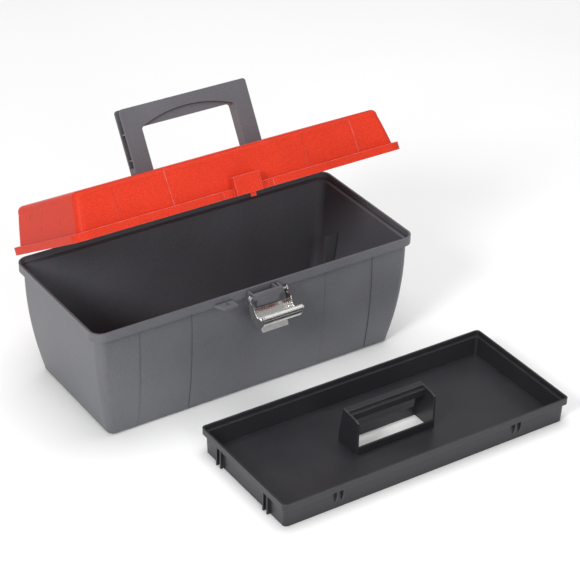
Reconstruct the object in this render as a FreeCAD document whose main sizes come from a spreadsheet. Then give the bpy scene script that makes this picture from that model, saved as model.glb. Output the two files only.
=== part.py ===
"""Toolbox with a hinged lid, a folding carry handle, a snap latch and a lift-out tray.

Frame: millimetres, +Z up, +X to the right along the box, +Y to the back.  The origin is
the middle of the box's base.  At rest the lid stands part open with its handle upright,
the latch hangs open, and the tray stands on the ground in front of the box.
"""
import FreeCAD, Part
import math
import os
from FreeCAD import Placement, Rotation, Vector
import Sketcher

os.makedirs("parts", exist_ok=True)
doc = FreeCAD.newDocument("Toolbox")

# ---------------------------------------------------------------- driving sizes
SIZES = {
    # box
    "rim_length": 410,          # outside of the rim band
    "rim_width": 187,
    "body_height": 142,
    "band_height": 10,          # band round the mouth of box and lid
    "band_overhang": 5.5,       # how far the band stands out from the wall
    "band_corner": 14,          # corner radius of the bands
    "wall": 2.5,
    "floor_thickness": 3,
    "wall_corner": 9,
    "base_corner": 8,
    "end_taper": 15,            # wall's lean from band to base, at each end
    "side_taper": 8.5,          # the same at front and back
    "waist_height": 50,         # where the lean of the walls picks up
    "end_waist": 6.2,           # lean of the end walls at the waist
    "side_waist": 2,            # and that of the front and back
    "base_round": 5,
    "foot_height": 5.5,         # upright foot under the leaning walls
    "panel_inner": 85,          # sunk panels in the front and back walls
    "panel_outer": 150,
    "panel_sink": 0.8,
    "rest_rib_height": 80,      # ribs on the end walls that carry the tray
    "rest_rib_thickness": 3,
    "rest_rib_lap": 6,          # how far they reach in under the tray
    # padlock tab and latch bracket on the front of the rim
    "tab_right": 38,            # its right side, left of the middle
    "tab_length": 22.5,         # along the band
    "tab_slant": 6,             # how far its left side runs in towards the tip
    "tab_reach": 12,
    "tab_thickness": 3,
    "tab_hole": 5,
    "tab_hole_right": 8,        # hole's middle from the right side and from the band
    "tab_hole_out": 5.2,
    "bracket_length": 38.6,
    "bracket_reach": 12.5,
    "bracket_drop": 2,          # its top below the top of the rim
    "bracket_bar": 7,           # height of its top frame
    "bracket_bar_depth": 4,
    "bracket_plate_length": 27.8,
    "bracket_plate_height": 22,
    "bracket_rib": 2.5,
    # lid
    "lid_gap": 0.3,             # between the closed lid and the rim
    "lid_height": 51,
    "lid_band_height": 9,
    "lid_mid_height": 26,
    "lid_end_mid": 5,           # lean of the lid's end walls at mid height
    "lid_end_taper": 8.5,       # and at the top
    "lid_side_mid": 1,          # the same at front and back
    "lid_side_taper": 3,
    "lid_corner": 9,
    "lid_round": 7,
    "crown_height": 8,          # upright edge of the lid's top
    "lid_open": 31,             # rest angle of the lid, degrees
    "keeper_length": 32,
    "keeper_height": 21,
    "keeper_reach": 7,          # how far it stands out from the band
    "keeper_wall": 2.5,
    "tongue_centre": 3.5,       # tongue under the keeper that enters the latch's bracket
    "tongue_width": 6,
    "tongue_drop": 4.5,
    "tongue_thickness": 2,
    "tongue_out": 3.5,          # its back from the band
    "notch_start": 28.5,        # slots in the lid's band beside the keeper
    "notch_width": 5.5,
    "notch_sink": 1.2,
    # hinge
    "hinge_offset": 5,          # axis behind the rim
    "hinge_drop": 5,            # and below its top
    "knuckle_radius": 4.2,
    "knuckle_length": 16,
    "knuckle_gap": 0.5,
    "hinge_spread": 130,        # middle of each hinge from the middle of the box
    "hinge_pin_radius": 1.5,
    "running_clearance": 0.1,
    # carry handle
    "handle_length": 160,
    "handle_height": 72,        # above the lid's top
    "handle_depth": 15,
    "handle_leg": 21,
    "handle_grip": 23.5,
    "handle_arch": 11,          # rise of the arched edge over the grip
    "handle_plate": 2.5,        # front and back plates of the channel
    "handle_web": 4,
    "handle_corner": 3.5,
    "handle_rib": 2,
    "pivot_depth": 8,           # handle's axis below the lid's top
    "pivot_pin_radius": 2,
    "pivot_pin_length": 17,
    "pivot_boss_radius": 5,
    "pivot_boss_length": 9,
    "recess_clearance": 1,      # sunk seat in the lid's top round the folded handle
    # latch
    "latch_width": 48,
    "latch_sheet": 1.2,
    "latch_eye": 4,
    "latch_pin_radius": 1.5,
    "latch_head_radius": 2.6,
    "latch_head_height": 1,
    "latch_bowl_radius": 15.6,
    "latch_bowl_out": 17.6,     # bowl's centre from the pin, outward and down
    "latch_bowl_down": 9.2,
    "latch_hollow_radius": 10.8,  # round hollow in the arms, centred outward and down
    "latch_hollow_out": 21.5,
    "latch_hollow_down": 4.2,
    "latch_arm_down": 4,        # upper edge of the arms below the pin
    "latch_back_down": 12.5,    # back edge of the bowl below the pin
    "latch_gap": 1,             # round the bracket, inside the arms
    "latch_lip_width": 52,
    "latch_lip_radius": 1.8,
    "latch_lip_out": 31.6,
    "latch_lip_down": 8.2,
    "latch_tab_width": 33,
    "latch_tab_length": 14.5,
    "latch_tab_slope": 65,
    # tray
    "tray_length": 371,
    "tray_width": 164,
    "tray_height": 30.5,
    "tray_band": 7.5,
    "tray_overhang": 2.8,
    "tray_draft": 1,
    "tray_wall": 2,
    "tray_corner": 5,
    "tray_end_fin": 46,         # middle of the end fin pairs from the middle
    "tray_side_fin": 116,       # and of the side ones
    "tray_fin_pair": 9.5,       # over both fins of a pair
    "tray_fin": 1.6,
    "tray_fin_foot": 6,         # where the side fins run out above the floor
    "tray_grip_span": 98,
    "tray_grip_width": 31,
    "tray_grip_height": 47,
    "tray_curb": 12,
    "tray_bar_centre": 5,
    "tray_bar_width": 12,
    "tray_bar_height": 11,
    "tray_x": 73,               # where the tray stands
    "tray_y": -233,
}

sheet = doc.addObject("Spreadsheet::Sheet", "sizes")
for row, (alias, size) in enumerate(SIZES.items(), start=1):
    sheet.set(f"A{row}", alias)
    sheet.set(f"B{row}", str(size))
    sheet.setAlias(f"B{row}", alias)
doc.recompute()


def value(expression):
    """The number that an expression on the sheet has now."""
    return float(sheet.evalExpression(expression))


def bound(expression):
    """The same expression as another object writes it."""
    words = []
    word = ""
    for letter in expression + " ":
        if letter.isalnum() or letter == "_":
            word += letter
            continue
        words.append(f"sizes.{word}" if word in SIZES else word)
        words.append(letter)
        word = ""
    return "".join(words).strip()


# ---------------------------------------------------------------- sketch helpers
def new_body(label):
    body = doc.addObject("PartDesign::Body", label)
    body.Label = label
    return body


def plane(body, role):
    return next(item for item in body.Origin.OriginFeatures if item.Role == role)


def new_sketch(body, name, role="XY_Plane", lift="0"):
    """A sketch on one of the body's own origin planes, moved along its normal by lift."""
    sketch = body.newObject("Sketcher::SketchObject", name)
    sketch.AttachmentSupport = (plane(body, role), [""])
    sketch.MapMode = "FlatFace"
    sketch.setExpression("AttachmentOffset.Base.z", bound(lift))
    return sketch


def dimension(sketch, kind, *where, size):
    """A driving dimension bound to an expression."""
    index = sketch.addConstraint(Sketcher.Constraint(kind, *where, abs(value(size))))
    sketch.setExpression(f"Constraints[{index}]", bound(size))
    return index


def line(sketch, start, end):
    return sketch.addGeometry(Part.LineSegment(Vector(*start, 0), Vector(*end, 0)), False)


def close_loop(sketch, items):
    for item, following in zip(items, items[1:] + items[:1]):
        sketch.addConstraint(Sketcher.Constraint("Coincident", item, 2, following, 1))


def rectangle(sketch, left, right, bottom, top):
    """An upright rectangle whose four sides sit at the given expressions."""
    x0, x1, y0, y1 = (value(side) for side in (left, right, bottom, top))
    sides = [line(sketch, (x0, y0), (x1, y0)), line(sketch, (x1, y0), (x1, y1)),
             line(sketch, (x1, y1), (x0, y1)), line(sketch, (x0, y1), (x0, y0))]
    close_loop(sketch, sides)
    for item in (sides[0], sides[2]):
        sketch.addConstraint(Sketcher.Constraint("Horizontal", item))
    for item in (sides[1], sides[3]):
        sketch.addConstraint(Sketcher.Constraint("Vertical", item))
    for kind, item, place in (("DistanceX", sides[0], left), ("DistanceY", sides[0], bottom)):
        pin_point(sketch, kind, item, 1, place)
    for kind, item, place in (("DistanceX", sides[2], right), ("DistanceY", sides[2], top)):
        pin_point(sketch, kind, item, 1, place)
    return sides


def pin_point(sketch, kind, item, end, place):
    """Fix one coordinate of a point, on either side of the origin."""
    index = sketch.addConstraint(Sketcher.Constraint(kind, -1, 1, item, end, value(place)))
    sketch.setExpression(f"Constraints[{index}]", bound(place))


def rounded_rectangle(sketch, length, width, corner):
    """A rectangle about the origin with four equal round corners."""
    half_x, half_y, radius = value(length) / 2, value(width) / 2, value(corner)
    arcs = []
    sides = []
    for turn in range(4):
        across, along = (half_x, half_y) if turn % 2 == 0 else (half_y, half_x)
        angle = turn * math.pi / 2
        spin = Rotation(Vector(0, 0, 1), math.degrees(angle))
        centre = spin.multVec(Vector(across - radius, along - radius, 0))
        circle = Part.Circle(centre, Vector(0, 0, 1), radius)
        arcs.append(sketch.addGeometry(Part.ArcOfCircle(circle, angle, angle + math.pi / 2), False))
        begin = spin.multVec(Vector(across - radius, along, 0))
        finish = spin.multVec(Vector(radius - across, along, 0))
        sides.append(line(sketch, (begin.x, begin.y), (finish.x, finish.y)))
    for turn in range(4):
        following = arcs[(turn + 1) % 4]
        sketch.addConstraint(Sketcher.Constraint("Tangent", arcs[turn], 2, sides[turn], 1))
        sketch.addConstraint(Sketcher.Constraint("Tangent", sides[turn], 2, following, 1))
        kind = "Horizontal" if turn % 2 == 0 else "Vertical"
        sketch.addConstraint(Sketcher.Constraint(kind, sides[turn]))
    for turn in (1, 2, 3):
        sketch.addConstraint(Sketcher.Constraint("Equal", arcs[0], arcs[turn]))
    sketch.addConstraint(Sketcher.Constraint("Symmetric", arcs[0], 3, arcs[2], 3, -1, 1))
    dimension(sketch, "Radius", arcs[0], size=corner)
    dimension(sketch, "DistanceX", arcs[1], 3, arcs[0], 3, size=f"{length} - 2 * ({corner})")
    dimension(sketch, "DistanceY", arcs[3], 3, arcs[0], 3, size=f"{width} - 2 * ({corner})")


def circle(sketch, x, y, radius):
    item = sketch.addGeometry(Part.Circle(Vector(value(x), value(y), 0), Vector(0, 0, 1),
                                          value(radius)), False)
    pin_point(sketch, "DistanceX", item, 3, x)
    pin_point(sketch, "DistanceY", item, 3, y)
    dimension(sketch, "Radius", item, size=radius)
    return item


# ---------------------------------------------------------------- feature helpers
def pad(body, sketch, length, name, back=False, both=False):
    feature = body.newObject("PartDesign::Pad", name)
    feature.Profile = sketch
    feature.setExpression("Length", bound(length))
    feature.Reversed = back
    if both:
        feature.SideType = "Symmetric"
    sketch.Visibility = False
    return feature


def pocket(body, sketch, length, name, back=False, both=False):
    feature = body.newObject("PartDesign::Pocket", name)
    feature.Profile = sketch
    feature.setExpression("Length", bound(length))
    feature.Reversed = back
    if both:
        feature.SideType = "Symmetric"
    sketch.Visibility = False
    return feature


def loft(body, kind, name, sections):
    feature = body.newObject(f"PartDesign::{kind}", name)
    feature.Profile = sections[0]
    feature.Sections = sections[1:]
    feature.Ruled = False
    return feature


def fillet(body, base, edges, radius, name):
    feature = body.newObject("PartDesign::Fillet", name)
    feature.Base = (base, edges)
    feature.setExpression("Radius", bound(radius))
    return feature


def mirror(body, features, role, name):
    feature = body.newObject("PartDesign::Mirrored", name)
    feature.Originals = features
    feature.MirrorPlane = (plane(body, role), [""])
    body.Tip = feature
    return feature


def loft_rectangles(body, kind, name, sections):
    """Loft through rounded rectangles, each a height, length, width and corner."""
    sketches = []
    for number, (lift, length, width, corner) in enumerate(sections, start=1):
        sketch = new_sketch(body, f"{name}_section_{number}", lift=lift)
        rounded_rectangle(sketch, length, width, corner)
        sketches.append(sketch)
    return loft(body, kind, name, sketches)


def edges_at(shape, height):
    """Names of the edges that lie flat at one height."""
    names = []
    for number, edge in enumerate(shape.Edges, start=1):
        box = edge.BoundBox
        if abs(box.ZMin - height) < 0.01 and abs(box.ZMax - height) < 0.01:
            names.append(f"Edge{number}")
    return names


# ---------------------------------------------------------------- shared expressions
WALL_LENGTH = "rim_length - 2 * band_overhang"
WALL_WIDTH = "rim_width - 2 * band_overhang"
BAND_FOOT = "body_height - band_height"
FRONT = "-rim_width / 2"
LID_FOOT = "body_height + lid_gap"
LID_BAND_TOP = "body_height + lid_band_height"
LID_TOP = "body_height + lid_height"
HINGE_Y = "rim_width / 2 + hinge_offset"
HINGE_Z = "body_height - hinge_drop"
PIVOT_Z = "body_height + lid_height - pivot_depth"
PIN_Y = "-rim_width / 2 - bracket_reach + bracket_bar_depth / 2"
PIN_Z = "body_height - bracket_drop - bracket_bar / 2"
LEG_RIBS = ("0.3", "0.9")         # heights of the handle's leg ribs, as shares of the leg
GRIP_RIBS = ("-0.5", "0", "0.5")  # places of its grip ribs, as shares of the half length


def box_sections(inset):
    """Sections of the tapering walls, moved in by an inset."""
    return [
        ("foot_height", f"{WALL_LENGTH} - 2 * end_taper - 2 * ({inset})",
         f"{WALL_WIDTH} - 2 * side_taper - 2 * ({inset})", "base_corner"),
        ("waist_height", f"{WALL_LENGTH} - 2 * end_waist - 2 * ({inset})",
         f"{WALL_WIDTH} - 2 * side_waist - 2 * ({inset})", "wall_corner"),
        (BAND_FOOT, f"{WALL_LENGTH} - 2 * ({inset})", f"{WALL_WIDTH} - 2 * ({inset})",
         "wall_corner"),
    ]


def lid_sections(inset, foot, top):
    """Sections of the lid's walls, moved in by an inset."""
    return [
        (foot, f"{WALL_LENGTH} - 2 * ({inset})", f"{WALL_WIDTH} - 2 * ({inset})",
         "wall_corner"),
        ("body_height + lid_mid_height", f"{WALL_LENGTH} - 2 * lid_end_mid - 2 * ({inset})",
         f"{WALL_WIDTH} - 2 * lid_side_mid - 2 * ({inset})", "lid_corner"),
        (top, f"{WALL_LENGTH} - 2 * lid_end_taper - 2 * ({inset})",
         f"{WALL_WIDTH} - 2 * lid_side_taper - 2 * ({inset})", "lid_corner"),
    ]


def panel_outline(body, name, lift, lean):
    """Plan of a sunk panel at one height, where the front wall leans in by lean."""
    sketch = new_sketch(body, name, lift=lift)
    face = f"{FRONT} + band_overhang + {lean}"
    rectangle(sketch, "panel_inner", "panel_outer", f"{face} - wall", f"{face} + panel_sink")
    return sketch


def sunk_panel(body, name, places):
    """A panel sunk in the front wall, following its lean; each place is a height and a lean."""
    sections = [panel_outline(body, f"{name}_section_{number}", lift, lean)
                for number, (lift, lean) in enumerate(places, start=1)]
    return loft(body, "SubtractiveLoft", name, sections)


def knuckle(body, name, middle, webs):
    """A hinge knuckle round the pin, joined to its part by webs in the YZ plane."""
    barrel = new_sketch(body, f"{name}_round", "YZ_Plane", middle)
    circle(barrel, HINGE_Y, HINGE_Z, "knuckle_radius")
    pad(body, barrel, "knuckle_length", f"{name}_barrel", both=True)
    for number, sides in enumerate(webs, start=1):
        web = new_sketch(body, f"{name}_web_{number}_outline", "YZ_Plane", middle)
        rectangle(web, *sides)
        pad(body, web, "knuckle_length", f"{name}_web_{number}", both=True)


def bore_along_x(body, name, y, z, radius, length):
    sketch = new_sketch(body, f"{name}_circle", "YZ_Plane")
    circle(sketch, y, z, radius)
    return pocket(body, sketch, length, name, both=True)


# ---------------------------------------------------------------- box
def build_box():
    body = new_body("box_body")
    foot_outline = new_sketch(body, "foot_outline")
    rounded_rectangle(foot_outline, *box_sections("0")[0][1:])
    foot = pad(body, foot_outline, "foot_height", "foot")
    doc.recompute()
    fillet(body, foot, edges_at(foot.Shape, 0), "base_round", "base_edge")
    loft_rectangles(body, "AdditiveLoft", "walls", box_sections("0"))

    # sunk panels down to the base, the same at both ends and both sides
    panel = sunk_panel(body, "panel_right", [("foot_height", "side_taper"),
                                             ("waist_height", "side_waist"), (BAND_FOOT, "0")])
    foot_panel = panel_outline(body, "foot_panel_outline", "foot_height", "side_taper")
    foot_cut = pocket(body, foot_panel, "foot_height", "foot_panel_right")
    body.Tip = foot_cut
    both_ends = body.newObject("PartDesign::MultiTransform", "panels")
    across = doc.addObject("PartDesign::Mirrored", "panel_left")
    across.MirrorPlane = (plane(body, "YZ_Plane"), [""])
    behind = doc.addObject("PartDesign::Mirrored", "panel_back")
    behind.MirrorPlane = (plane(body, "XZ_Plane"), [""])
    both_ends.Originals = [panel, foot_cut]
    both_ends.Transformations = [across, behind]
    body.Tip = both_ends

    band = new_sketch(body, "band_outline", lift="body_height")
    rounded_rectangle(band, "rim_length", "rim_width", "band_corner")
    pad(body, band, "band_height", "band", back=True)

    # cavity: tapering inside, then a ledge, then the mouth inside the band
    inner = box_sections("wall")
    inner[0] = ("floor_thickness",) + inner[0][1:]
    loft_rectangles(body, "SubtractiveLoft", "inside", inner)
    mouth = new_sketch(body, "mouth_outline", lift="body_height")
    rounded_rectangle(mouth, f"{WALL_LENGTH} - 2 * wall", f"{WALL_WIDTH} - 2 * wall",
                      "wall_corner")
    pocket(body, mouth, "band_height", "mouth")
    rim = new_sketch(body, "rim_outline", lift="body_height")
    rounded_rectangle(rim, "rim_length - 2 * wall", "rim_width - 2 * wall",
                      "band_corner - wall")
    pocket(body, rim, "band_height - wall", "ledge")
    build_rest_ribs(body)
    build_padlock_tab(body)
    build_bracket(body)
    build_box_hinge(body)
    return body


def build_rest_ribs(body):
    """Upright ribs on the inside of the end walls that the tray's floor rests on."""
    inner = "tray_length / 2 - tray_overhang - rest_rib_lap"
    end = "rim_length / 2 - band_overhang"
    lean_left = "(1 - (rest_rib_height - waist_height) / (body_height - band_height - waist_height))"
    corners = [(inner, "floor_thickness / 2"),
               (f"{end} - end_taper - wall", "floor_thickness / 2"),
               (f"{end} - end_waist - wall / 2", "waist_height"),
               (f"{end} - end_waist * {lean_left}", "rest_rib_height"),
               (inner, "rest_rib_height")]
    for side, lift in (("front", "tray_end_fin"), ("back", "-tray_end_fin")):
        sketch = new_sketch(body, f"rest_rib_{side}_outline", "XZ_Plane", lift)
        polygon(sketch, corners)
        rib = pad(body, sketch, "rest_rib_thickness", f"rest_rib_{side}", both=True)
        mirror(body, [rib], "YZ_Plane", f"rest_rib_{side}_left")


def build_padlock_tab(body):
    """A flat tab along the foot of the band with a hole for a padlock."""
    tab = new_sketch(body, "tab_outline", lift=BAND_FOOT)
    root, tip = f"{FRONT} + wall / 2", f"{FRONT} - tab_reach"
    left = "-tab_right - tab_length"
    polygon(tab, [(left, root), (left, FRONT), (f"{left} + tab_slant", tip),
                  ("-tab_right", tip), ("-tab_right", root)])
    pad(body, tab, "tab_thickness", "padlock_tab")
    hole = new_sketch(body, "tab_hole_circle", lift=BAND_FOOT)
    circle(hole, "-tab_right - tab_hole_right", f"{FRONT} - tab_hole_out", "tab_hole / 2")
    pocket(body, hole, "tab_thickness", "tab_hole_cut", back=True)


def polygon(sketch, corners):
    """Straight sides through corners, each corner a pair of expressions."""
    points = [(value(x), value(y)) for x, y in corners]
    sides = [line(sketch, here, there) for here, there in zip(points, points[1:] + points[:1])]
    close_loop(sketch, sides)
    for side, (x, y) in zip(sides, corners):
        pin_point(sketch, "DistanceX", side, 1, x)
        pin_point(sketch, "DistanceY", side, 1, y)
    return sides


def build_bracket(body):
    """The moulded bracket that carries the latch: an open frame over a front plate."""
    top = "body_height - bracket_drop"
    outer = f"{FRONT} - bracket_reach"
    frame = new_sketch(body, "bracket_frame_outline", lift=top)
    rectangle(frame, "-bracket_length / 2", "bracket_length / 2", outer, f"{FRONT} + wall / 2")
    pad(body, frame, "bracket_bar", "bracket_frame", back=True)
    plate = new_sketch(body, "bracket_plate_outline", lift=top)
    rectangle(plate, "-bracket_plate_length / 2", "bracket_plate_length / 2", outer,
              f"{outer} + bracket_rib")
    pad(body, plate, "bracket_plate_height", "bracket_plate", back=True)
    for side in ("left", "right"):
        sign = "-" if side == "left" else ""
        rib = new_sketch(body, f"bracket_rib_{side}_outline", "YZ_Plane",
                         f"{sign}(bracket_plate_length / 2 - bracket_rib / 2)")
        rectangle(rib, outer, f"{FRONT} + band_overhang + wall / 2",
                  f"{top} - bracket_plate_height", f"{top} - bracket_bar / 2")
        pad(body, rib, "bracket_rib", f"bracket_rib_{side}", both=True)
    # slots through the top frame, one wide and one narrow with a cross rib between
    slot = new_sketch(body, "bracket_slots_outline", lift=top)
    front_edge = f"{outer} + bracket_bar_depth"
    for left, right in (("-bracket_length / 2 + bracket_rib",
                         "bracket_plate_length / 2 - bracket_rib"),
                        ("bracket_plate_length / 2", "bracket_length / 2 - bracket_rib")):
        rectangle(slot, left, right, front_edge, FRONT)
    pocket(body, slot, "bracket_bar", "bracket_slots")
    bore_along_x(body, "latch_pin_bore", PIN_Y, PIN_Z, "latch_pin_radius", "bracket_length")


def build_box_hinge(body):
    """Two outer knuckles at each hinge, joined to the back of the band."""
    web = ("rim_width / 2 - wall / 2", HINGE_Y, f"{HINGE_Z} - knuckle_radius", HINGE_Z)
    for side, sign in (("left", "-"), ("right", "")):
        for place, step in (("inner", "-"), ("outer", "+")):
            middle = f"{sign}(hinge_spread {step} (knuckle_length + knuckle_gap))"
            knuckle(body, f"box_knuckle_{place}_{side}", middle, [web])
    bore_along_x(body, "hinge_bore", HINGE_Y, HINGE_Z, "hinge_pin_radius", "rim_length")


# ---------------------------------------------------------------- lid
def build_lid():
    body = new_body("lid")
    crown_foot = f"{LID_TOP} - crown_height"
    outside = lid_sections("0", LID_FOOT, crown_foot)
    crown_outline = new_sketch(body, "crown_outline", lift=LID_TOP)
    rounded_rectangle(crown_outline, *outside[-1][1:])
    crown = pad(body, crown_outline, "crown_height", "crown", back=True)
    doc.recompute()
    fillet(body, crown, edges_at(crown.Shape, value(LID_TOP)), "lid_round", "lid_edge")
    loft_rectangles(body, "AdditiveLoft", "lid_walls", outside)
    panel = sunk_panel(body, "lid_panel_right", [
        (LID_FOOT, "0"), ("body_height + lid_mid_height", "lid_side_mid"),
        (crown_foot, "lid_side_taper")])
    mirror(body, [panel], "YZ_Plane", "lid_panel_left")
    crown_panel = panel_outline(body, "crown_panel_outline", LID_TOP, "lid_side_taper")
    crown_cut = pocket(body, crown_panel, "crown_height", "crown_panel_right")
    mirror(body, [crown_cut], "YZ_Plane", "crown_panel_left")

    band = new_sketch(body, "lid_band_outline", lift=LID_FOOT)
    rounded_rectangle(band, "rim_length", "rim_width", "band_corner")
    pad(body, band, "lid_band_height - lid_gap", "lid_band")
    build_keeper(body)
    inside = lid_sections("wall", LID_FOOT, f"{LID_TOP} - wall")
    loft_rectangles(body, "SubtractiveLoft", "lid_inside", inside)
    rim = new_sketch(body, "lid_rim_outline", lift=LID_FOOT)
    rounded_rectangle(rim, "rim_length - 2 * wall", "rim_width - 2 * wall",
                      "band_corner - wall")
    pocket(body, rim, "lid_band_height - lid_gap - wall", "lid_ledge", back=True)
    build_handle_seat(body)
    build_lid_hinge(body)
    return body


def build_lid_hinge(body):
    """One knuckle in the middle of each hinge, hung from the back of the lid's band."""
    drop = (f"{HINGE_Y} - knuckle_radius", f"{HINGE_Y} + knuckle_radius", HINGE_Z, LID_BAND_TOP)
    arm = ("rim_width / 2 - wall / 2", HINGE_Y, LID_FOOT, LID_BAND_TOP)
    for side, sign in (("left", "-"), ("right", "")):
        knuckle(body, f"lid_knuckle_{side}", f"{sign}hinge_spread", [drop, arm])
    bore_along_x(body, "lid_hinge_bore", HINGE_Y, HINGE_Z,
                 "hinge_pin_radius + running_clearance", "rim_length")


def build_keeper(body):
    """The hollow boss on the lid's front that the latch hooks over, between two slots."""
    boss = new_sketch(body, "keeper_outline", lift=LID_FOOT)
    rectangle(boss, "-keeper_length / 2", "keeper_length / 2", f"{FRONT} - keeper_reach",
              f"{FRONT} + band_overhang + lid_side_mid + wall / 2")
    pad(body, boss, "keeper_height - lid_gap", "keeper")
    hollow = new_sketch(body, "keeper_hollow_outline", lift=LID_FOOT)
    rectangle(hollow, "-keeper_length / 2 + keeper_wall", "keeper_length / 2 - keeper_wall",
              f"{FRONT} - keeper_reach + keeper_wall", FRONT)
    pocket(body, hollow, "keeper_height - lid_gap - keeper_wall", "keeper_hollow", back=True)
    tongue = new_sketch(body, "tongue_outline", lift=f"{LID_FOOT} + keeper_wall")
    rectangle(tongue, "tongue_centre - tongue_width / 2", "tongue_centre + tongue_width / 2",
              f"{FRONT} - tongue_out - tongue_thickness", f"{FRONT} - tongue_out")
    pad(body, tongue, "keeper_wall + tongue_drop", "tongue", back=True)
    notch = new_sketch(body, "notch_outline", lift=LID_FOOT)
    rectangle(notch, "notch_start", "notch_start + notch_width",
              f"{FRONT} - wall", f"{FRONT} + notch_sink")
    cut = pocket(body, notch, "lid_band_height", "notch_right", back=True)
    mirror(body, [cut], "YZ_Plane", "notch_left")


def build_handle_seat(body):
    """A tub sunk in the lid's top that the folded handle lies in, with its pivot bosses."""
    half = "handle_length / 2 + recess_clearance"
    depth = "pivot_depth + handle_depth / 2 + recess_clearance"
    front = "-(handle_height + pivot_depth + recess_clearance)"
    back = "handle_depth / 2 + recess_clearance"
    tub = new_sketch(body, "tub_outline", lift=LID_TOP)
    rectangle(tub, f"-({half}) - wall", f"{half} + wall", f"{front} - wall", f"{back} + wall")
    pad(body, tub, f"{depth} + wall", "tub", back=True)
    for side in ("left", "right"):
        sign = "-" if side == "left" else ""
        boss = new_sketch(body, f"pivot_boss_{side}_round", "YZ_Plane",
                          f"{sign}({half} + pivot_boss_length / 2)")
        circle(boss, "0", PIVOT_Z, "pivot_boss_radius")
        pad(body, boss, "pivot_boss_length", f"pivot_boss_{side}", both=True)
    recess = new_sketch(body, "recess_outline", lift=LID_TOP)
    rectangle(recess, f"-({half})", half, front, back)
    pocket(body, recess, depth, "handle_recess")
    bore_along_x(body, "pivot_bore", "0", PIVOT_Z, "pivot_pin_radius",
                 f"2 * ({half} + pivot_boss_length)")


# ---------------------------------------------------------------- carry handle
def build_handle():
    body = new_body("carry_handle")
    foot = f"{PIVOT_Z} - handle_depth / 2"
    top = f"{LID_TOP} + handle_height"
    arch = f"{top} - handle_grip"
    inner = "handle_length / 2 - handle_leg"
    outline = new_sketch(body, "handle_outline", "XZ_Plane")
    polygon(outline, [("-handle_length / 2", foot), (f"-({inner})", foot),
                      (f"-({inner})", arch), (inner, arch), (inner, foot),
                      ("handle_length / 2", foot), ("handle_length / 2", top),
                      ("-handle_length / 2", top)])
    frame = pad(body, outline, "handle_depth", "handle_frame", both=True)
    doc.recompute()
    rounded = [name for name, edge in named_edges(frame.Shape)
               if along_y(edge) and edge.CenterOfMass.z > value(arch) - 1]
    fillet(body, frame, rounded, "handle_corner", "handle_corners")

    # the channel round the outside, open outward, with a web left on the inside that is
    # deep enough over the grip to back the arched recesses
    channel = new_sketch(body, "channel_outline", "XZ_Plane")
    web = f"{inner} + handle_web"
    grip_web = f"{arch} + handle_arch + handle_web"
    polygon(channel, [("-handle_length / 2 - wall", f"{PIVOT_Z} + handle_depth"),
                      (f"-({web})", f"{PIVOT_Z} + handle_depth"),
                      (f"-({web})", grip_web), (web, grip_web),
                      (web, f"{PIVOT_Z} + handle_depth"),
                      ("handle_length / 2 + wall", f"{PIVOT_Z} + handle_depth"),
                      ("handle_length / 2 + wall", f"{top} + wall"),
                      ("-handle_length / 2 - wall", f"{top} + wall")])
    pocket(body, channel, "handle_depth - 2 * handle_plate", "handle_channel", both=True)
    build_handle_ribs(body, web, top, grip_web)

    # front and back plates end in an arch above the grip
    for side in ("front", "back"):
        sign = "" if side == "front" else "-"
        sketch = new_sketch(body, f"arch_{side}_outline", "XZ_Plane",
                            f"{sign}(handle_depth / 2 - handle_plate / 2)")
        arch_outline(sketch, f"{inner} - handle_rib", arch, "handle_arch")
        pocket(body, sketch, "handle_plate", f"arch_{side}", both=True)

    # feet turn about the pivot
    corners = new_sketch(body, "foot_corners", "YZ_Plane")
    foot_corner_outline(corners)
    pocket(body, corners, "handle_length", "round_feet", both=True)
    bore_along_x(body, "handle_bore", "0", PIVOT_Z, "pivot_pin_radius + running_clearance",
                 "handle_length")
    return body


def named_edges(shape):
    return [(f"Edge{number}", edge) for number, edge in enumerate(shape.Edges, start=1)]


def along_y(edge):
    box = edge.BoundBox
    return box.YLength > 1 and box.XLength < 0.01 and box.ZLength < 0.01


def build_handle_ribs(body, web, top, grip_web):
    """Cross ribs in the channel, on the legs and over the grip."""
    ribs = new_sketch(body, "handle_ribs_outline", "XZ_Plane")
    for share in LEG_RIBS:
        height = f"{LID_TOP} + {share} * (handle_height - handle_grip)"
        for left, right in (("-handle_length / 2 + handle_rib / 2", f"-({web})"),
                            (web, "handle_length / 2 - handle_rib / 2")):
            rectangle(ribs, left, right, height, f"{height} + handle_rib")
    for share in GRIP_RIBS:
        centre = f"{share} * ({web})"
        rectangle(ribs, f"{centre} - handle_rib / 2", f"{centre} + handle_rib / 2",
                  grip_web, f"{top} - handle_rib / 2")
    pad(body, ribs, "handle_depth - handle_plate", "handle_ribs", both=True)


def arch_outline(sketch, half, foot, rise):
    """A flat foot under a round arch, about the middle of the sketch."""
    span, base, height = value(half), value(foot), value(rise)
    radius = (span ** 2 + height ** 2) / (2 * height)
    reach = math.asin(span / radius)
    centre = Vector(0, base + height - radius, 0)
    curve = Part.ArcOfCircle(Part.Circle(centre, Vector(0, 0, 1), radius),
                             math.pi / 2 - reach, math.pi / 2 + reach)
    item = sketch.addGeometry(curve, False)
    chord = line(sketch, (-span, base), (span, base))
    sketch.addConstraint(Sketcher.Constraint("Coincident", item, 2, chord, 1))
    sketch.addConstraint(Sketcher.Constraint("Coincident", item, 1, chord, 2))
    for end, x in ((1, f"-({half})"), (2, half)):
        pin_point(sketch, "DistanceX", chord, end, x)
        pin_point(sketch, "DistanceY", chord, end, foot)
    dimension(sketch, "Radius", item, size=f"(({half}) ^ 2 + ({rise}) ^ 2) / (2 * {rise})")


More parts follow.
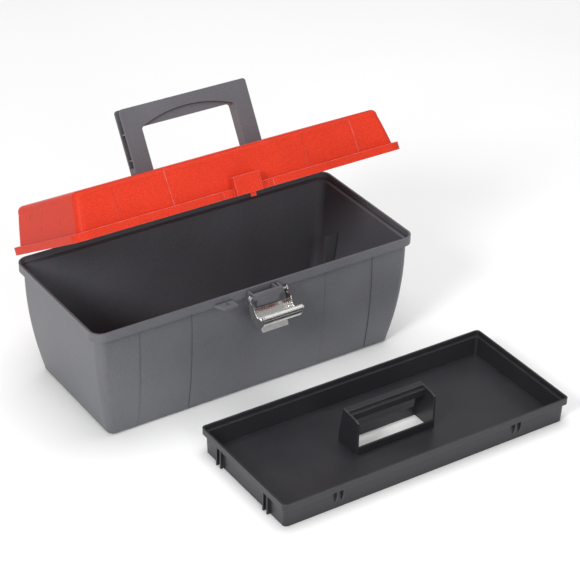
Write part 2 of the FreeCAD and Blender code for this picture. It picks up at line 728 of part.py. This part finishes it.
def foot_corner_outline(sketch):
    """What is cut from the square feet to leave a half round below the pivot."""
    radius, height = value("handle_depth / 2"), value(PIVOT_Z)
    for sign in (-1, 1):
        start = (sign * radius, height)
        corner = (sign * radius, height - radius)
        finish = (0, height - radius)
        upright = line(sketch, start, corner)
        level = line(sketch, corner, finish)
        begin, end = (math.pi, 1.5 * math.pi) if sign < 0 else (1.5 * math.pi, 2 * math.pi)
        arc = sketch.addGeometry(Part.ArcOfCircle(
            Part.Circle(Vector(0, height, 0), Vector(0, 0, 1), radius), begin, end), False)
        first, last = (1, 2) if sign < 0 else (2, 1)
        sketch.addConstraint(Sketcher.Constraint("Coincident", upright, 2, level, 1))
        sketch.addConstraint(Sketcher.Constraint("Coincident", arc, first, upright, 1))
        sketch.addConstraint(Sketcher.Constraint("Coincident", arc, last, level, 2))
        side = "" if sign > 0 else "-"
        pin_point(sketch, "DistanceX", upright, 1, f"{side}handle_depth / 2")
        pin_point(sketch, "DistanceY", upright, 1, PIVOT_Z)
        pin_point(sketch, "DistanceX", level, 1, f"{side}handle_depth / 2")
        pin_point(sketch, "DistanceY", level, 1, f"{PIVOT_Z} - handle_depth / 2")
        pin_point(sketch, "DistanceX", level, 2, "0")
        pin_point(sketch, "DistanceY", level, 2, f"{PIVOT_Z} - handle_depth / 2")
        dimension(sketch, "Radius", arc, size="handle_depth / 2")


# ---------------------------------------------------------------- latch
def out(distance):
    """Y of a point so far out from the latch pin; up() gives its Z."""
    return f"{PIN_Y} - ({distance})"


def up(distance):
    return f"{PIN_Z} + ({distance})"


BETWEEN_ARMS = "latch_width - 2 * latch_sheet"
BOWL = (out("latch_bowl_out"), up("-latch_bowl_down"))


def build_latch():
    """A pressed lever: two crescent arms, a curved bowl between them and a rolled lip."""
    body = new_body("latch_lever")
    arms = new_sketch(body, "arms_round", "YZ_Plane")
    circle(arms, *BOWL, "latch_bowl_radius")
    pad(body, arms, "latch_width", "arms", both=True)
    bowl = new_sketch(body, "bowl_inside", "YZ_Plane")
    circle(bowl, *BOWL, "latch_bowl_radius - latch_sheet")
    pocket(body, bowl, BETWEEN_ARMS, "bowl", both=True)
    hollow = new_sketch(body, "arm_hollow", "YZ_Plane")
    circle(hollow, out("latch_hollow_out"), up("-latch_hollow_down"), "latch_hollow_radius")
    pocket(body, hollow, "latch_lip_width", "arm_hollow_cut", both=True)
    above = new_sketch(body, "above_arms", "YZ_Plane")
    rectangle(above, out("2 * latch_bowl_out"), out("-latch_bowl_out"), up("-latch_arm_down"),
              up("latch_bowl_radius"))
    pocket(body, above, "latch_lip_width", "above_arms_cut", both=True)
    eye = new_sketch(body, "eye_round", "YZ_Plane")
    circle(eye, PIN_Y, PIN_Z, "latch_eye")
    pad(body, eye, "latch_width", "eyes", both=True)
    neck = new_sketch(body, "neck_outline", "YZ_Plane")
    rectangle(neck, out("latch_eye"), out("0"), up("-latch_bowl_down"), PIN_Z)
    pad(body, neck, "latch_width", "necks", both=True)

    # between the arms the bowl ends in front of the bracket and below its bar
    gap = new_sketch(body, "bracket_gap", "YZ_Plane")
    behind, before = out("-latch_eye - latch_gap"), out("bracket_bar_depth / 2 + latch_gap")
    top, bottom = up("latch_eye + latch_gap"), f"{BOWL[1]} - latch_bowl_radius - latch_gap"
    polygon(gap, [(behind, top), (behind, bottom), (before, bottom),
                  (before, up("-latch_back_down")),
                  (out("latch_bowl_out"), up("-latch_back_down")), (out("latch_bowl_out"), top)])
    pocket(body, gap, BETWEEN_ARMS, "bracket_gap_cut", both=True)
    lip = new_sketch(body, "lip_round", "YZ_Plane")
    circle(lip, out("latch_lip_out"), up("-latch_lip_down"), "latch_lip_radius")
    pad(body, lip, "latch_lip_width", "lip", both=True)
    bore_along_x(body, "latch_bore", PIN_Y, PIN_Z, "latch_pin_radius + running_clearance",
                 "latch_width")
    return body


def build_latch_tab():
    """The finger tab: a plate welded under the back of the bowl that slopes down."""
    body = new_body("latch_tab")
    sketch = new_sketch(body, "latch_tab_outline", "YZ_Plane")
    cosine, sine = "cos(latch_tab_slope * 1deg)", "sin(latch_tab_slope * 1deg)"
    reach = "(latch_bowl_radius - latch_sheet / 2)"
    root = (f"{BOWL[0]} + {reach} * {cosine}", f"{BOWL[1]} - {reach} * {sine}")
    tip = (f"{root[0]} - latch_tab_length * {cosine}", f"{root[1]} - latch_tab_length * {sine}")
    across = (f"latch_sheet * {sine}", f"latch_sheet * {cosine}")
    polygon(sketch, [root, tip, (f"{tip[0]} + {across[0]}", f"{tip[1]} - {across[1]}"),
                     (f"{root[0]} + {across[0]}", f"{root[1]} - {across[1]}")])
    pad(body, sketch, "latch_tab_width", "plate", both=True)
    seat = new_sketch(body, "bowl_outside", "YZ_Plane")
    circle(seat, *BOWL, "latch_bowl_radius")
    pocket(body, seat, "latch_width", "bowl_seat", both=True)
    return body


# ---------------------------------------------------------------- tray
def build_tray():
    body = new_body("tray")
    shell = "tray_length - 2 * tray_overhang"
    across = "tray_width - 2 * tray_overhang"
    loft_rectangles(body, "AdditiveLoft", "tray_walls", [
        ("0", f"{shell} - 2 * tray_draft", f"{across} - 2 * tray_draft", "tray_corner"),
        ("tray_height", shell, across, "tray_corner")])
    band = new_sketch(body, "tray_band_outline", lift="tray_height")
    rounded_rectangle(band, "tray_length", "tray_width", "tray_corner")
    pad(body, band, "tray_band", "tray_flange", back=True)
    build_tray_fins(body, shell, across)
    inset = "2 * tray_wall"
    loft_rectangles(body, "SubtractiveLoft", "tray_inside", [
        ("tray_wall", f"{shell} - 2 * tray_draft - {inset}",
         f"{across} - 2 * tray_draft - {inset}", "tray_corner - tray_wall"),
        ("tray_height", f"{shell} - {inset}", f"{across} - {inset}",
         "tray_corner - tray_wall")])
    rim = new_sketch(body, "tray_rim_outline", lift="tray_height")
    rounded_rectangle(rim, f"tray_length - {inset}", f"tray_width - {inset}",
                      "tray_corner - tray_wall")
    pocket(body, rim, "tray_band - tray_wall", "tray_ledge")
    build_tray_grip(body)
    return body


def build_tray_fins(body, shell, across):
    """Pairs of upright fins that bring the walls out flush with the flange."""
    half_pair = "(tray_fin_pair - tray_fin) / 2"
    end_fins = new_sketch(body, "end_fins_outline")
    for centre in ("-tray_end_fin", "tray_end_fin"):
        for offset in (f"-{half_pair}", half_pair):
            middle = f"{centre} + {offset}"
            rectangle(end_fins, f"({shell}) / 2 - tray_draft - tray_wall / 2",
                      "tray_length / 2", f"{middle} - tray_fin / 2", f"{middle} + tray_fin / 2")
    fins = pad(body, end_fins, "tray_height", "end_fins")
    mirror(body, [fins], "YZ_Plane", "end_fins_left")
    for number, (centre, offset) in enumerate(
            ((centre, offset) for centre in ("-tray_side_fin", "tray_side_fin")
             for offset in (f"-{half_pair}", half_pair)), start=1):
        sketch = new_sketch(body, f"side_fin_{number}_outline", "YZ_Plane",
                            f"{centre} + {offset}")
        inner = f"-({across}) / 2 + tray_draft + tray_wall / 2"
        polygon(sketch, [(inner, "tray_fin_foot"), (inner, "tray_height - tray_band / 2"),
                         ("-tray_width / 2", "tray_height - tray_band / 2"),
                         ("-tray_width / 2", "tray_height - 2 * tray_band"),
                         (f"-({across}) / 2 + tray_draft", "tray_fin_foot")])
        fin = pad(body, sketch, "tray_fin", f"side_fin_{number}", both=True)
        mirror(body, [fin], "XZ_Plane", f"side_fin_{number}_back")


def build_tray_grip(body):
    """A bar along the tray on two end posts, over an opening with low curbs."""
    half_x, half_y = "tray_grip_span / 2", "tray_grip_width / 2"
    curb = new_sketch(body, "curb_outline")
    rectangle(curb, f"-{half_x} - tray_wall", f"{half_x} + tray_wall",
              f"-{half_y} - tray_wall", f"{half_y} + tray_wall")
    pad(body, curb, "tray_curb", "curb")
    back = "tray_bar_centre + tray_bar_width / 2"
    for side in ("left", "right"):
        sign = "-" if side == "left" else ""
        post = new_sketch(body, f"post_{side}_outline", "YZ_Plane",
                          f"{sign}({half_x} + tray_wall / 2)")
        polygon(post, [(f"-{half_y} - tray_wall", "tray_curb / 2"),
                       (f"{half_y} + tray_wall", "tray_curb / 2"),
                       (f"{half_y} + tray_wall", "tray_curb"),
                       (back, "tray_grip_height"),
                       ("-tray_bar_width", "tray_grip_height - tray_wall"),
                       (f"-{half_y} - tray_wall", "tray_grip_height - 2 * tray_wall")])
        pad(body, post, "tray_wall", f"post_{side}", both=True)
    opening = new_sketch(body, "opening_outline")
    rectangle(opening, f"-{half_x}", half_x, f"-{half_y}", half_y)
    pocket(body, opening, "tray_grip_height", "grip_opening", back=True)
    bar = new_sketch(body, "bar_outline", "YZ_Plane")
    front = "tray_bar_centre - tray_bar_width / 2"
    step = f"{front} + tray_bar_width / 3"
    rectangle(bar, front, back, "tray_grip_height - tray_bar_height",
              "tray_grip_height - 1.5 * tray_wall")
    pad(body, bar, "tray_grip_span + tray_wall", "grip_bar", both=True)
    ridge = new_sketch(body, "ridge_outline", "YZ_Plane")
    rectangle(ridge, step, back, "tray_grip_height - tray_bar_height", "tray_grip_height")
    pad(body, ridge, "tray_grip_span + tray_wall", "grip_ridge", both=True)


# ---------------------------------------------------------------- pins
def build_pin(label, length, radius, centre):
    """A plain steel pin along X with its middle at centre."""
    pin = doc.addObject("Part::Cylinder", label)
    pin.Label = label
    pin.setExpression("Height", bound(length))
    pin.setExpression("Radius", bound(radius))
    x, y, z = centre
    start = Vector(value(f"{x} - ({length}) / 2"), value(y), value(z))
    pin.Placement = Placement(start, Rotation(Vector(0, 1, 0), 90))
    return pin


def build_latch_pin():
    """The latch's pin with a round head at each end, outside the arms."""
    reach = "latch_width + 2 * running_clearance + 2 * latch_head_height"
    shank = build_pin("latch_shank", reach, "latch_pin_radius", ("0", PIN_Y, PIN_Z))
    heads = []
    for side in ("left", "right"):
        sign = "-" if side == "left" else ""
        middle = f"{sign}(latch_width / 2 + running_clearance + latch_head_height / 2)"
        heads.append(build_pin(f"latch_head_{side}", "latch_head_height",
                               "latch_head_radius", (middle, PIN_Y, PIN_Z)))
    whole = doc.addObject("Part::MultiFuse", "latch_pin")
    whole.Label = "latch_pin"
    whole.Shapes = [shank] + heads
    return whole


def build_pins():
    """Hinge pins across each hinge and pivot pins through the handle's feet."""
    hinge_length = "3 * knuckle_length + 2 * knuckle_gap"
    pivot_middle = ("handle_length / 2 + recess_clearance + pivot_boss_length"
                    " - pivot_pin_length / 2")
    pins = []
    for side in ("left", "right"):
        sign = "-" if side == "left" else ""
        pins.append(build_pin(f"hinge_pin_{side}", hinge_length, "hinge_pin_radius",
                              (f"{sign}hinge_spread", HINGE_Y, HINGE_Z)))
        pins.append(build_pin(f"handle_pin_{side}", "pivot_pin_length", "pivot_pin_radius",
                              (f"{sign}({pivot_middle})", "0", PIVOT_Z)))
    return pins


# ---------------------------------------------------------------- assembly
def main():
    box = build_box()
    lid = build_lid()
    handle = build_handle()
    latch = build_latch()
    latch_tab = build_latch_tab()
    tray = build_tray()
    latch_pin = build_latch_pin()
    pins = build_pins()
    doc.recompute()

    # the lid and all it carries stand open about the hinge
    open_lid = Placement(Vector(0, 0, 0), Rotation(Vector(1, 0, 0), -value("lid_open")),
                         Vector(0, value(HINGE_Y), value(HINGE_Z)))
    for item in [lid, handle] + [pin for pin in pins if pin.Label.startswith("handle_pin")]:
        item.Placement = open_lid.multiply(item.Placement)
    tray.Placement = Placement(Vector(value("tray_x"), value("tray_y"), 0), Rotation())
    doc.recompute()

    for item in doc.Objects:
        if {"Invalid", "Error"} & set(item.State):
            raise RuntimeError(f"{item.Label} did not compute: {item.State}")
    for node in [box, lid, handle, latch, latch_tab, tray, latch_pin] + pins:
        shape = node.Shape
        if shape.isNull() or not shape.isValid() or not shape.Solids:
            raise RuntimeError(f"{node.Label} has no sound shape")
        shape.exportStep(f"parts/{node.Label}.step")


main()
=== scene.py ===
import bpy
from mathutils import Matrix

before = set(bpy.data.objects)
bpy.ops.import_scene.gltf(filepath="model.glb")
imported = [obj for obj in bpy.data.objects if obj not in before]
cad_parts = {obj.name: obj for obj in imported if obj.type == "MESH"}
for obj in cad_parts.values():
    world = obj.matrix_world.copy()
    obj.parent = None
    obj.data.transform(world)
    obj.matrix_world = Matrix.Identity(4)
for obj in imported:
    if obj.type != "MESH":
        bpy.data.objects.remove(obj)        # frame["bodies"], ["nodes"], ["joints"], ["record"]

"""Looks of the toolbox with tray: moulded plastics, a plated latch, and a pale studio."""
import math

import bpy
from mathutils import Matrix, Vector

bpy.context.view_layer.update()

# camera, metres and degrees: the picture is taken from the front left, looking down
CAMERA_PLACE = Vector((-1.0039, -1.6659, 1.2708))
CAMERA_AZIMUTH = 33.48
CAMERA_ELEVATION = 31.32
CAMERA_ROLL = 1.131
CAMERA_LENS = 125.05      # millimetres, on a 36 mm sensor

# colours, linear
GREY = (0.122, 0.124, 0.138)
HANDLE_GREY = (0.118, 0.120, 0.134)
RED = (0.61, 0.042, 0.020)
CHARCOAL = (0.024, 0.024, 0.028)
NICKEL = (0.76, 0.75, 0.73)
STEEL = (0.52, 0.52, 0.53)

# shading, metres
CREASE_SHADE_REACH = 0.0025     # how far from an inside corner the painted shade reaches
PLATE_EDGE = 0.0004       # rounding of the latch's edges
EDGE_SAMPLES = 8          # rays that look for a nearby edge or corner
PLASTIC_IOR = 1.49

# light: name, place, aimed at, width in metres, watts
WORLD_STRENGTH = 0.40
LIGHTS = (
    ("key", (-2.4, -1.2, 1.9), (0, 0, 0.1), 0.9, 47),
    ("fill", (-0.4, -3.2, 1.5), (0, 0, 0.1), 1.8, 30),
    ("top", (0.3, 0.2, 3.2), (0, 0, 0), 2.4, 52),
)

FLOOR_SIZE = 30
FLOOR_DROP = 0.0005       # keeps the floor clear of the faces that stand on it
FLOOR_COLOUR = (0.97, 0.97, 0.97)


# ---------------------------------------------------------------- node helpers
def new_material(name):
    """An empty material with its node tree, principled shader and output."""
    material = bpy.data.materials.new(name)
    material.use_nodes = True
    tree = material.node_tree
    shader = tree.nodes["Principled BSDF"]
    return material, tree, shader


def noise(tree, scale, detail=3.0, roughness=0.5):
    """Noise in the piece's own space, so that it keeps its size and moves with it."""
    place = tree.nodes.new("ShaderNodeTexCoord")
    texture = tree.nodes.new("ShaderNodeTexNoise")
    for socket, number in (("Scale", scale), ("Detail", detail), ("Roughness", roughness)):
        texture.inputs[socket].default_value = number
    tree.links.new(place.outputs["Object"], texture.inputs["Vector"])
    return texture.outputs["Fac"]


def map_range(tree, value, low, high, to_low, to_high):
    """The value stretched from one range to another, and held inside it."""
    node = tree.nodes.new("ShaderNodeMapRange")
    for socket, number in zip(("From Min", "From Max", "To Min", "To Max"),
                              (low, high, to_low, to_high)):
        node.inputs[socket].default_value = number
    tree.links.new(value, node.inputs["Value"])
    return node.outputs["Result"]


def scaled_colour(tree, colour, factor):
    """The colour times a varying factor."""
    node = tree.nodes.new("ShaderNodeVectorMath")
    node.operation = "SCALE"
    node.inputs[0].default_value = colour
    tree.links.new(factor, node.inputs["Scale"])
    return node.outputs["Vector"]


def rounded_edges(tree, radius):
    """Normals that run round each edge, and how far each spot lies on one, 0 to 1."""
    bevel = tree.nodes.new("ShaderNodeBevel")
    bevel.samples = EDGE_SAMPLES
    bevel.inputs["Radius"].default_value = radius
    face = tree.nodes.new("ShaderNodeNewGeometry")
    dot = tree.nodes.new("ShaderNodeVectorMath")
    dot.operation = "DOT_PRODUCT"
    tree.links.new(bevel.outputs["Normal"], dot.inputs[0])
    tree.links.new(face.outputs["Normal"], dot.inputs[1])
    return bevel.outputs["Normal"], map_range(tree, dot.outputs["Value"], 1.0, 0.8, 0.0, 1.0)


def openness(tree, reach):
    """1 on an open face, and less within reach of an inside corner; it sets the painted shade
    in creases.
    """
    node = tree.nodes.new("ShaderNodeAmbientOcclusion")
    node.samples = EDGE_SAMPLES
    node.inputs["Distance"].default_value = reach
    return node.outputs["AO"]


def product(tree, first, *others):
    """The outputs multiplied together."""
    for other in others:
        node = tree.nodes.new("ShaderNodeMath")
        node.operation = "MULTIPLY"
        tree.links.new(first, node.inputs[0])
        tree.links.new(other, node.inputs[1])
        first = node.outputs[0]
    return first


def mix_colours(tree, factor, first, second):
    """first where factor is 0, second where it is 1; each a colour or an output."""
    node = tree.nodes.new("ShaderNodeMix")
    node.data_type = "RGBA"
    tree.links.new(factor, node.inputs["Factor"])
    for socket, colour in ((node.inputs[6], first), (node.inputs[7], second)):
        if isinstance(colour, tuple):
            socket.default_value = (*colour, 1)
        else:
            tree.links.new(colour, socket)
    return node.outputs[2]


def bump(tree, height, distance, strength, normal=None):
    """Normals roughened by a height, on top of others if given."""
    node = tree.nodes.new("ShaderNodeBump")
    node.inputs["Strength"].default_value = strength
    node.inputs["Distance"].default_value = distance
    tree.links.new(height, node.inputs["Height"])
    if normal is not None:
        tree.links.new(normal, node.inputs["Normal"])
    return node.outputs["Normal"]


# ---------------------------------------------------------------- materials
def moulded_plastic(name, colour, grain, roughness, crease, edge_light, edge_radius, shine=0.5):
    """Polypropylene from a mould: fine grain and faint clouding, with painted highlights and
    some wear on the edges and painted shade in the creases.

    grain is the scale of the texture, crease the brightness that the painted shade leaves in
    inside corners, edge_light how far the painted highlight and wear take the edges towards
    white, and shine the reflections.
    """
    material, tree, shader = new_material(name)
    links = tree.links
    clouds = noise(tree, 14, detail=4, roughness=0.6)
    specks = noise(tree, grain, detail=2)
    normal, edge = rounded_edges(tree, edge_radius)

    shade = map_range(tree, clouds, 0.3, 0.7, 0.93, 1.07)
    speck_shade = map_range(tree, specks, 0.3, 0.7, 0.86, 1.14)
    # painted shade: inside corners and creases darkened from ambient occlusion
    painted_crease_shade = map_range(tree, openness(tree, CREASE_SHADE_REACH), 0.55, 0.95, crease, 1.0)
    base = scaled_colour(tree, colour, product(tree, shade, speck_shade, painted_crease_shade))

    # painted highlight and some wear: edges lightened towards white, in patches
    patches = map_range(tree, noise(tree, 90), 0.35, 0.65, 0.25, 0.9)
    edge_highlight_and_wear = tuple(channel + (1 - channel) * edge_light for channel in colour)
    links.new(mix_colours(tree, product(tree, edge, patches), base, edge_highlight_and_wear),
              shader.inputs["Base Color"])

    links.new(map_range(tree, clouds, 0.3, 0.7, roughness - 0.05, roughness + 0.06),
              shader.inputs["Roughness"])
    grained = bump(tree, specks, 0.00015, 0.5, normal)
    links.new(grained, shader.inputs["Normal"])
    shader.inputs["IOR"].default_value = PLASTIC_IOR
    shader.inputs["Specular IOR Level"].default_value = shine
    return material


def plated_steel(name, colour, roughness):
    """Bright plating over pressed sheet: soft waves, faint rolling lines and small rubs."""
    material, tree, shader = new_material(name)
    links = tree.links
    waves = noise(tree, 120, detail=2)
    rubs = noise(tree, 700, detail=4, roughness=0.7)
    normal = rounded_edges(tree, PLATE_EDGE)[0]
    shade = map_range(tree, rubs, 0.3, 0.7, 0.9, 1.05)
    links.new(scaled_colour(tree, colour, shade), shader.inputs["Base Color"])
    links.new(map_range(tree, rubs, 0.3, 0.7, roughness * 0.7, roughness * 1.4),
              shader.inputs["Roughness"])
    links.new(bump(tree, waves, 0.0006, 0.25, normal), shader.inputs["Normal"])
    shader.inputs["Metallic"].default_value = 1.0
    return material


def drawn_steel(name, colour):
    """Plain drawn rod, with fine lines round and along it."""
    material, tree, shader = new_material(name)
    links = tree.links
    lines = noise(tree, 2600, detail=3)
    links.new(scaled_colour(tree, colour, map_range(tree, lines, 0.3, 0.7, 0.8, 1.1)),
              shader.inputs["Base Color"])
    links.new(map_range(tree, lines, 0.3, 0.7, 0.28, 0.42), shader.inputs["Roughness"])
    links.new(bump(tree, lines, 0.00004, 0.4), shader.inputs["Normal"])
    shader.inputs["Metallic"].default_value = 1.0
    return material


def paint(material, *nodes):
    """Give CAD pieces their material."""
    for name in nodes:
        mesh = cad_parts[name].data
        mesh.materials.clear()
        mesh.materials.append(material)


# ---------------------------------------------------------------- studio
def make_floor():
    """A plain pale floor, matt and almost even in tone."""
    material, tree, shader = new_material("floor")
    tone = map_range(tree, noise(tree, 3, detail=2), 0.3, 0.7, 0.98, 1.0)
    tree.links.new(scaled_colour(tree, FLOOR_COLOUR, tone), shader.inputs["Base Color"])
    shader.inputs["Roughness"].default_value = 0.9
    half = FLOOR_SIZE / 2
    mesh = bpy.data.meshes.new("floor")
    corners = [(-half, -half, 0), (half, -half, 0), (half, half, 0), (-half, half, 0)]
    mesh.from_pydata(corners, [], [(0, 1, 2, 3)])
    mesh.materials.append(material)
    floor = bpy.data.objects.new("floor", mesh)
    floor.location.z = -FLOOR_DROP
    bpy.context.scene.collection.objects.link(floor)


def soft_light(name, place, target, size, power):
    """A round area light aimed at a target."""
    light = bpy.data.lights.new(name, "AREA")
    light.shape = "DISK"
    light.size = size
    light.energy = power
    lamp = bpy.data.objects.new(name, light)
    lamp.location = place
    lamp.rotation_mode = "QUATERNION"
    lamp.rotation_quaternion = (Vector(target) - Vector(place)).to_track_quat("-Z", "Y")
    bpy.context.scene.collection.objects.link(lamp)


def make_light():
    """A white room, a key from the left, a broad fill beside the camera and a top light."""
    world = bpy.data.worlds.new("studio")
    world.use_nodes = True
    world.node_tree.nodes["Background"].inputs["Color"].default_value = (1, 1, 1, 1)
    world.node_tree.nodes["Background"].inputs["Strength"].default_value = WORLD_STRENGTH
    bpy.context.scene.world = world
    for light in LIGHTS:
        soft_light(*light)


def make_camera():
    """The picture's camera: so far round, so far up, a lens and a slight roll."""
    azimuth, elevation = math.radians(CAMERA_AZIMUTH), math.radians(CAMERA_ELEVATION)
    ahead = Vector((math.sin(azimuth) * math.cos(elevation),
                    math.cos(azimuth) * math.cos(elevation), -math.sin(elevation)))
    camera = bpy.data.cameras.new("camera")
    camera.lens = CAMERA_LENS
    camera.sensor_width = 36
    camera.clip_end = 100
    stand = bpy.data.objects.new("camera", camera)
    turn = ahead.to_track_quat("-Z", "Y").to_matrix().to_4x4()
    roll = Matrix.Rotation(math.radians(CAMERA_ROLL), 4, "Z")
    stand.matrix_world = Matrix.Translation(CAMERA_PLACE) @ turn @ roll
    bpy.context.scene.collection.objects.link(stand)
    bpy.context.scene.camera = stand


def main():
    # crease: brightness that the painted crease shade leaves in inside corners
    # edge_light: strength of the painted edge highlight and wear
    paint(moulded_plastic("grey_plastic", GREY, grain=900, roughness=0.40, crease=0.42,
                          edge_light=0.06, edge_radius=0.0003), "box_body")
    paint(moulded_plastic("red_plastic", RED, grain=700, roughness=0.30, crease=0.9,
                          edge_light=0.35, edge_radius=0.0006, shine=0.04), "lid")
    paint(moulded_plastic("grey_handle_plastic", HANDLE_GREY, grain=900, roughness=0.40,
                          crease=0.5, edge_light=0.06, edge_radius=0.0005), "carry_handle")
    paint(moulded_plastic("charcoal_plastic", CHARCOAL, grain=1200, roughness=0.36,
                          crease=0.5, edge_light=0.10, edge_radius=0.0006), "tray")
    paint(plated_steel("plated_steel", NICKEL, roughness=0.18), "latch_lever", "latch_tab")
    paint(drawn_steel("pin_steel", STEEL), "latch_pin", "hinge_pin_left", "hinge_pin_right",
          "handle_pin_left", "handle_pin_right")
    make_floor()
    make_light()
    make_camera()
    bpy.context.scene.view_settings.view_transform = "Standard"


main()
